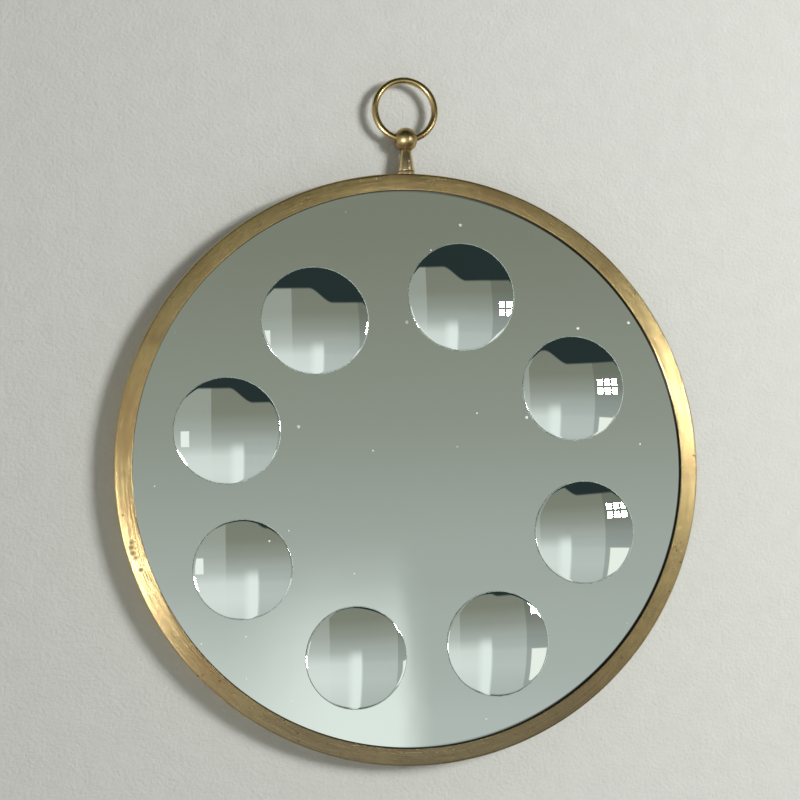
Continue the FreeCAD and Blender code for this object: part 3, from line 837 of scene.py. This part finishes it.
def make_eye_silver():
    f, point, x, y, z = start_finish("eye_silver")
    waves = f.noise(point, scale=34, detail=1)
    veil = f.noise(point, scale=28, detail=5, roughness=0.65)
    dust = specks(f, f.vector(x, z, 0.0), 40, 0.04, 0.045)
    colour = f.mix(veil.rise(0.5, 0.8) * 0.25, (0.83, 0.89, 0.85), (0.70, 0.75, 0.71))
    colour = f.mix(dust, colour, SPECK_COLOUR)
    return f.surface(
        Base_Color=colour, Metallic=1 - dust,
        Roughness=0.006 + 0.02 * veil.rise(0.5, 0.8) + 0.6 * dust,
        Normal=f.bump(waves, distance=0.0002, strength=0.10),
    )


def make_ground_glass():
    f, point, *_ = start_finish("ground_glass")
    grit = f.noise(point, scale=2400, detail=3)
    chips = f.noise(point, scale=160, detail=4)
    colour = f.mix(chips.rise(0.40, 0.62), (0.46, 0.54, 0.49), (0.30, 0.37, 0.33))
    return f.surface(
        Base_Color=colour, Roughness=0.45 + 0.25 * grit,
        Normal=f.bump(grit, distance=0.00003, strength=0.6),
    )


def make_back_paint():
    f, point, *_ = start_finish("mirror_back_paint")
    blotches = f.noise(point, scale=30, detail=5)
    colour = f.mix(blotches, (0.16, 0.17, 0.16), (0.24, 0.25, 0.23))
    return f.surface(
        Base_Color=colour, Roughness=0.5, Normal=f.bump(blotches, distance=0.0001),
    )


for material in (make_plate_silver(), make_eye_silver(), make_ground_glass(), make_back_paint()):
    print("finish:", material.name, "used by", material.users, "pieces")

# %% [markdown]
# ## The back and the hidden pieces
# A hardboard disc closes the back, screwed to a pine ring that holds the glass. Cork, felt, the
# soldered strap and the steel stud are out of sight, but each gets the surface of the real thing,
# because the part can be taken apart. They could be made again as the front was, but their CAD
# meshes are exact and plain, so they keep those and only get a finish.

# %% Finishes of the back
def make_hardboard():
    f, point, x, y, z = start_finish("hardboard")
    fibres = f.noise(f.vector(x * 900, y * 900, z * 300), detail=4, distortion=1.5)
    clouds = f.noise(point, scale=7, detail=5, roughness=0.6)
    scuffs = f.noise(f.vector(x * 12, y * 12, z * 160), detail=3).rise(0.62, 0.74)
    colour = f.mix(fibres.rise(0.3, 0.7), (0.170, 0.092, 0.042), (0.270, 0.160, 0.080))
    colour = f.mix(clouds.rise(0.4, 0.75) * 0.45, colour, (0.34, 0.22, 0.12))
    colour = f.mix(scuffs * 0.3, colour, (0.42, 0.33, 0.24))
    return f.surface(
        Base_Color=colour, Roughness=0.50 + 0.22 * fibres,
        Normal=f.bump(fibres, distance=0.00008, strength=0.6),
    )


def make_pine():
    f, _, x, y, z = start_finish("pine")
    wobble = f.noise(f.vector(x * 2, y * 2, z * 2), detail=2)
    rings = f.node(
        "ShaderNodeTexWave", {"wave_type": "BANDS", "bands_direction": "Z"},
        {"Vector": f.vector(x * 6, y * 60, z * 60), "Scale": 2.2,
         "Distortion": 3.0, "Detail": 2.0, "Detail Scale": 1.4},
        output="Fac",
    )
    pores = f.noise(f.vector(x * 60, y * 1400, z * 1400), detail=2)
    colour = f.mix(rings, (0.60, 0.42, 0.24), (0.42, 0.26, 0.12))
    colour = f.mix(pores.rise(0.6, 0.8) * 0.4 + wobble * 0.1, colour, (0.30, 0.18, 0.09))
    return f.surface(
        Base_Color=colour, Roughness=0.55 + 0.15 * pores,
        Normal=f.bump(rings + pores * 0.5, distance=0.0001, strength=0.5),
    )


def make_cork():
    f, point, *_ = start_finish("cork")
    cells = {"Vector": point, "Scale": 700}
    grains = f.node("ShaderNodeTexVoronoi", None, cells)
    tones = f.node("ShaderNodeTexVoronoi", None, cells, output="Color")
    tone = f.node("ShaderNodeSeparateColor", None, {0: tones}, output=0)
    colour = f.mix(tone, (0.42, 0.27, 0.15), (0.62, 0.44, 0.27))
    colour = f.mix(grains.rise(0.45, 0.75) * 0.7, colour, (0.12, 0.07, 0.04))
    return f.surface(
        Base_Color=colour, Roughness=0.85, Normal=f.bump(1 - grains, distance=0.0003),
    )


def make_felt():
    f, point, x, y, z = start_finish("felt")
    hairs = f.noise(f.vector(x * 1500, y * 1500, z * 1500), detail=4, distortion=3.0)
    tufts = f.noise(point, scale=160, detail=4)
    colour = f.mix(hairs, (0.035, 0.048, 0.038), (0.085, 0.105, 0.085))
    colour = f.mix(tufts.rise(0.45, 0.75) * 0.4, colour, (0.12, 0.14, 0.12))
    return f.surface(
        Base_Color=colour, Roughness=0.95, Sheen_Weight=0.3,
        Normal=f.bump(hairs + tufts * 0.6, distance=0.0002),
    )


def make_strap_brass():
    f, point, x, y, z = start_finish("strap_brass_and_solder")
    rolled = f.noise(f.vector(x * 60, y * 2600, z * 60), detail=2)
    stain = f.noise(point, scale=110, detail=4)
    ends = x.size().rise(24 * MM, 29 * MM)
    solder = (ends * stain.rise(0.35, 0.6)).smaller(1.0)
    colour = f.mix(stain.rise(0.35, 0.7), (0.50, 0.38, 0.18), (0.24, 0.14, 0.06))
    colour = f.mix(solder, colour, (0.42, 0.42, 0.41))
    return f.surface(
        Base_Color=colour, Metallic=1.0, Roughness=0.34 + 0.2 * solder,
        Normal=f.bump(rolled + solder, distance=0.00005),
    )


def make_zinc():
    f, point, x, y, z = start_finish("zinc_plated_steel")
    machined = f.noise(f.vector(x * 80, y * 80, z * 3800), detail=2)
    passivation = f.noise(point, scale=140, detail=3)
    colour = f.mix(passivation, (0.55, 0.56, 0.58), (0.62, 0.58, 0.48))
    return f.surface(
        Base_Color=colour, Metallic=1.0, Roughness=0.26 + 0.18 * machined,
        Normal=f.bump(machined, distance=0.00004),
    )


def make_screw_brass():
    f, point, *_ = start_finish("screw_brass")
    fine = f.noise(point, scale=2600, detail=2)
    stain = f.noise(point, scale=260, detail=4)
    colour = f.mix(stain.rise(0.3, 0.7), (0.66, 0.50, 0.24), (0.30, 0.21, 0.10))
    return f.surface(
        Base_Color=colour, Metallic=1.0, Roughness=0.24 + 0.22 * stain,
        Normal=f.bump(fine, distance=0.00003),
    )


for make_material, names in (
    (make_hardboard, ["backboard"]),
    (make_pine, ["liner_ring"]),
    (make_cork, ["edge_packers"]),
    (make_felt, ["backing_felt"]),
    (make_strap_brass, ["joint_plate"]),
    (make_zinc, ["hanger_stud", "stud_washer", "stud_nut"]),
    (make_screw_brass, ["edge_screws", "back_screws"]),
):
    dress(make_material(), *(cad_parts[name] for name in names))

# %% [markdown]
# ## The studio
# A pale wall stands behind the mirror and takes its shadow. A plain sheet would hide the back, so
# it has a round opening that the mirror covers, and from behind it lets light and sight through.
# The floor lies 1.2 m below the mirror's middle, and the glass doesn't show it.

# %% Wall and floor
OPENING_R = HOOP_R - 1 * MM
WALL_Y = 1.5 * MM
FLOOR_Z = -1.2


def make_wall_finish():
    f = new_finish("pale_plaster")
    point = f.node("ShaderNodeTexCoord", output="Object")
    coarse = f.noise(point, scale=40, detail=5, roughness=0.6)
    fine = f.noise(point, scale=260, detail=4, roughness=0.6)
    colour = f.mix(coarse, (0.60, 0.61, 0.57), (0.66, 0.67, 0.63))
    plaster = f.node("ShaderNodeBsdfPrincipled", None, {
        "Base Color": colour, "Roughness": 0.9,
        "Normal": f.bump(coarse * 0.7 + fine * 0.6, distance=0.0022, strength=0.8),
    })
    clear = f.node("ShaderNodeBsdfTransparent")
    behind = f.node("ShaderNodeNewGeometry", output="Backfacing")
    shown = f.node("ShaderNodeMixShader", None, {0: behind, 1: plaster, 2: clear})
    f.node("ShaderNodeOutputMaterial", None, {"Surface": shown})
    return f.owner


put_down()
bpy.ops.mesh.primitive_circle_add(
    vertices=192, radius=OPENING_R, location=(0, WALL_Y, 0), rotation=(math.pi / 2, 0, 0)
)
wall = bpy.context.object
wall.name = "studio_wall"
bpy.ops.object.mode_set(mode="EDIT")
bpy.ops.mesh.select_all(action="SELECT")
bpy.ops.mesh.extrude_region_move()
bpy.ops.transform.resize(value=(30, 30, 30), center_override=(0, WALL_Y, 0))
bpy.ops.mesh.select_all(action="SELECT")
wall_mesh = bmesh.from_edit_mesh(wall.data)
wall_mesh.normal_update()
toward = sum((wall.matrix_world.to_3x3() @ face.normal).y for face in wall_mesh.faces)
if toward > 0:
    bpy.ops.mesh.flip_normals()
put_down()
dress(make_wall_finish(), wall)

bpy.ops.mesh.primitive_plane_add(size=18, location=(0, 0, FLOOR_Z))
floor = bpy.context.object
floor.name = "studio_floor"
f = new_finish("pale_floor")
tone = f.noise(f.node("ShaderNodeTexCoord", output="Object"), scale=3, detail=3)
floor_tone = f.mix(tone, (0.70, 0.70, 0.68), (0.74, 0.74, 0.72))
dress(f.surface(Base_Color=floor_tone, Roughness=0.8), floor)
floor.visible_glossy = False
put_down()
print("stage:", wall.name, floor.name)

# %% [markdown]
# ## What the glass sees
# A mirror shows whatever stands before it, so the studio around it is as much a part of its look
# as its finish. A picture of a studio would be a file from outside, so it is made from gradients
# and masks in the world. The glass sees a grey-green haze that brightens downwards, dimmer to the
# right, and a dark top that comes lower on the right. The bull's-eyes gather far more of it than
# the flat does, so only they show the dark top, the boards at either side and the pale panels.
# Other surfaces are lit by one even tone.

# %% World
def make_world():
    world = bpy.data.worlds.new("studio")
    bpy.context.scene.world = world
    f = Finish(world)
    toward = f.node("ShaderNodeTexCoord", output="Generated")
    x, y, z = [f.node("ShaderNodeSeparateXYZ", None, {0: toward}, axis) for axis in "XYZ"]
    haze = f.ramp(z * 0.5 + 0.5, [
        (0.00, (0.05, 0.05, 0.045)),
        (0.20, (0.12, 0.12, 0.11)),
        (0.25, (0.66, 0.70, 0.68)),
        (0.36, (0.76, 0.80, 0.78)),
        (0.42, (0.72, 0.76, 0.74)),
        (0.47, (0.45, 0.480, 0.46)),
        (0.53, (0.32, 0.335, 0.30)),
        (0.60, (0.235, 0.245, 0.20)),
        (1.00, (0.18, 0.19, 0.16)),
    ])
    across = x / (x * x + y * y).root()
    below = 1 - z.rise(-0.15, -0.02)
    bright = across.rise(0.03, 0.12) * (1 - across.rise(0.160, 0.178)) * below
    seen = f.mix(bright * 0.75, haze, (0.92, 0.97, 0.95))
    dimmer = across.rise(0.165, 0.19) * below * 0.30
    seen = f.mix(dimmer, seen, (0.05, 0.075, 0.085))
    left_board = 1 - across.rise(-0.098, -0.092)
    seen = f.mix(left_board * 0.22, seen, (0.80, 0.84, 0.82))
    right_board = across.rise(0.462, 0.468)
    seen = f.mix(right_board * 0.30, seen, (0.04, 0.05, 0.045))
    top_edge = 0.40 - 0.12 * across.rise(0.06, 0.26)
    seen = f.mix((z - top_edge).rise(-0.01, 0.01), seen, (0.022, 0.034, 0.034))
    panel = (
        across.rise(0.50, 0.51) * (1 - across.rise(0.66, 0.67))
        * z.rise(-0.40, -0.39) * (1 - z.rise(-0.16, -0.15)) * (1 - y.rise(-0.05, 0.05))
    )
    seen = f.mix(panel, seen, (0.95, 0.97, 0.91))
    glow = 1 - (across + 0.31).size().rise(0.030, 0.036)
    glow = glow * (1 - (z + 0.01).size().rise(0.06, 0.07))
    seen = f.mix(glow * 0.9, seen, (1.0, 1.02, 1.0))
    reflected, soft, backdrop = (
        f.node("ShaderNodeBackground", None, {"Color": colour, "Strength": 1.0})
        for colour in (seen, (0.27, 0.275, 0.265), (0.62, 0.63, 0.60))
    )
    glossy = f.node("ShaderNodeLightPath", output="Is Glossy Ray")
    straight = f.node("ShaderNodeLightPath", output="Is Camera Ray")
    lit = f.node("ShaderNodeMixShader", None, {0: glossy, 1: soft, 2: reflected})
    shown = f.node("ShaderNodeMixShader", None, {0: straight, 1: lit, 2: backdrop})
    f.node("ShaderNodeOutputWorld", None, {"Surface": shown})
    return world


print("world:", make_world().name)

# %% [markdown]
# ## Lamps
# The light falls from the right, so the shadow lies on the left. One big lamp would do for the
# shadow, but would stand in the glass as one big white block. So six small panes, in two rows, are
# what the brass and the right-hand rims of the bull's-eyes reflect, and a lamp beside them, hidden
# from reflections, carries the rest of the light on the wall. A lamp on the left gives the hoop its
# second bright fan, and one behind shows the back.

# %% Lamps
def add_lamp(name, heading, height, distance, width, tall, watts, reflected=True):
    """An area lamp that faces the mirror: its heading is to the right of straight ahead."""
    data = bpy.data.lights.new(name, "AREA")
    data.shape = "RECTANGLE"
    data.size, data.size_y = width, tall
    data.energy = watts
    lamp = bpy.data.objects.new(name, data)
    bpy.context.scene.collection.objects.link(lamp)
    heading, height = math.radians(heading), math.radians(height)
    lamp.location = distance * Vector((
        math.sin(heading) * math.cos(height), -math.cos(heading) * math.cos(height),
        math.sin(height),
    ))
    lamp.rotation_mode = "QUATERNION"
    lamp.rotation_quaternion = (-lamp.location).to_track_quat("-Z", "Y")
    lamp.visible_camera = False
    lamp.visible_glossy = reflected
    print(f"{name}: {watts} W at", tuple(round(v, 2) for v in lamp.location))
    return lamp


KEY_HEADING, KEY_HEIGHT, KEY_DISTANCE = 38, 6.5, 2.7
PANE_PITCH, PANE_SIDE, PANE_WATTS = 3.9, 0.12, 2.3
for column in (-1, 0, 1):
    for row in (-0.5, 0.5):
        add_lamp(
            f"key_pane_{column + 2}_{row > 0:d}", KEY_HEADING + column * PANE_PITCH,
            KEY_HEIGHT + row * PANE_PITCH, KEY_DISTANCE, PANE_SIDE, PANE_SIDE, PANE_WATTS,
        )
add_lamp("wall_softbox", 40, 12, KEY_DISTANCE, 0.7, 0.7, 46, reflected=False)
left = add_lamp("left_softbox", -33, -12, 2.6, 0.60, 0.34, 34)
left.visible_diffuse = False
add_lamp("back_softbox", 145, 30, 3.0, 1.6, 1.6, 40)
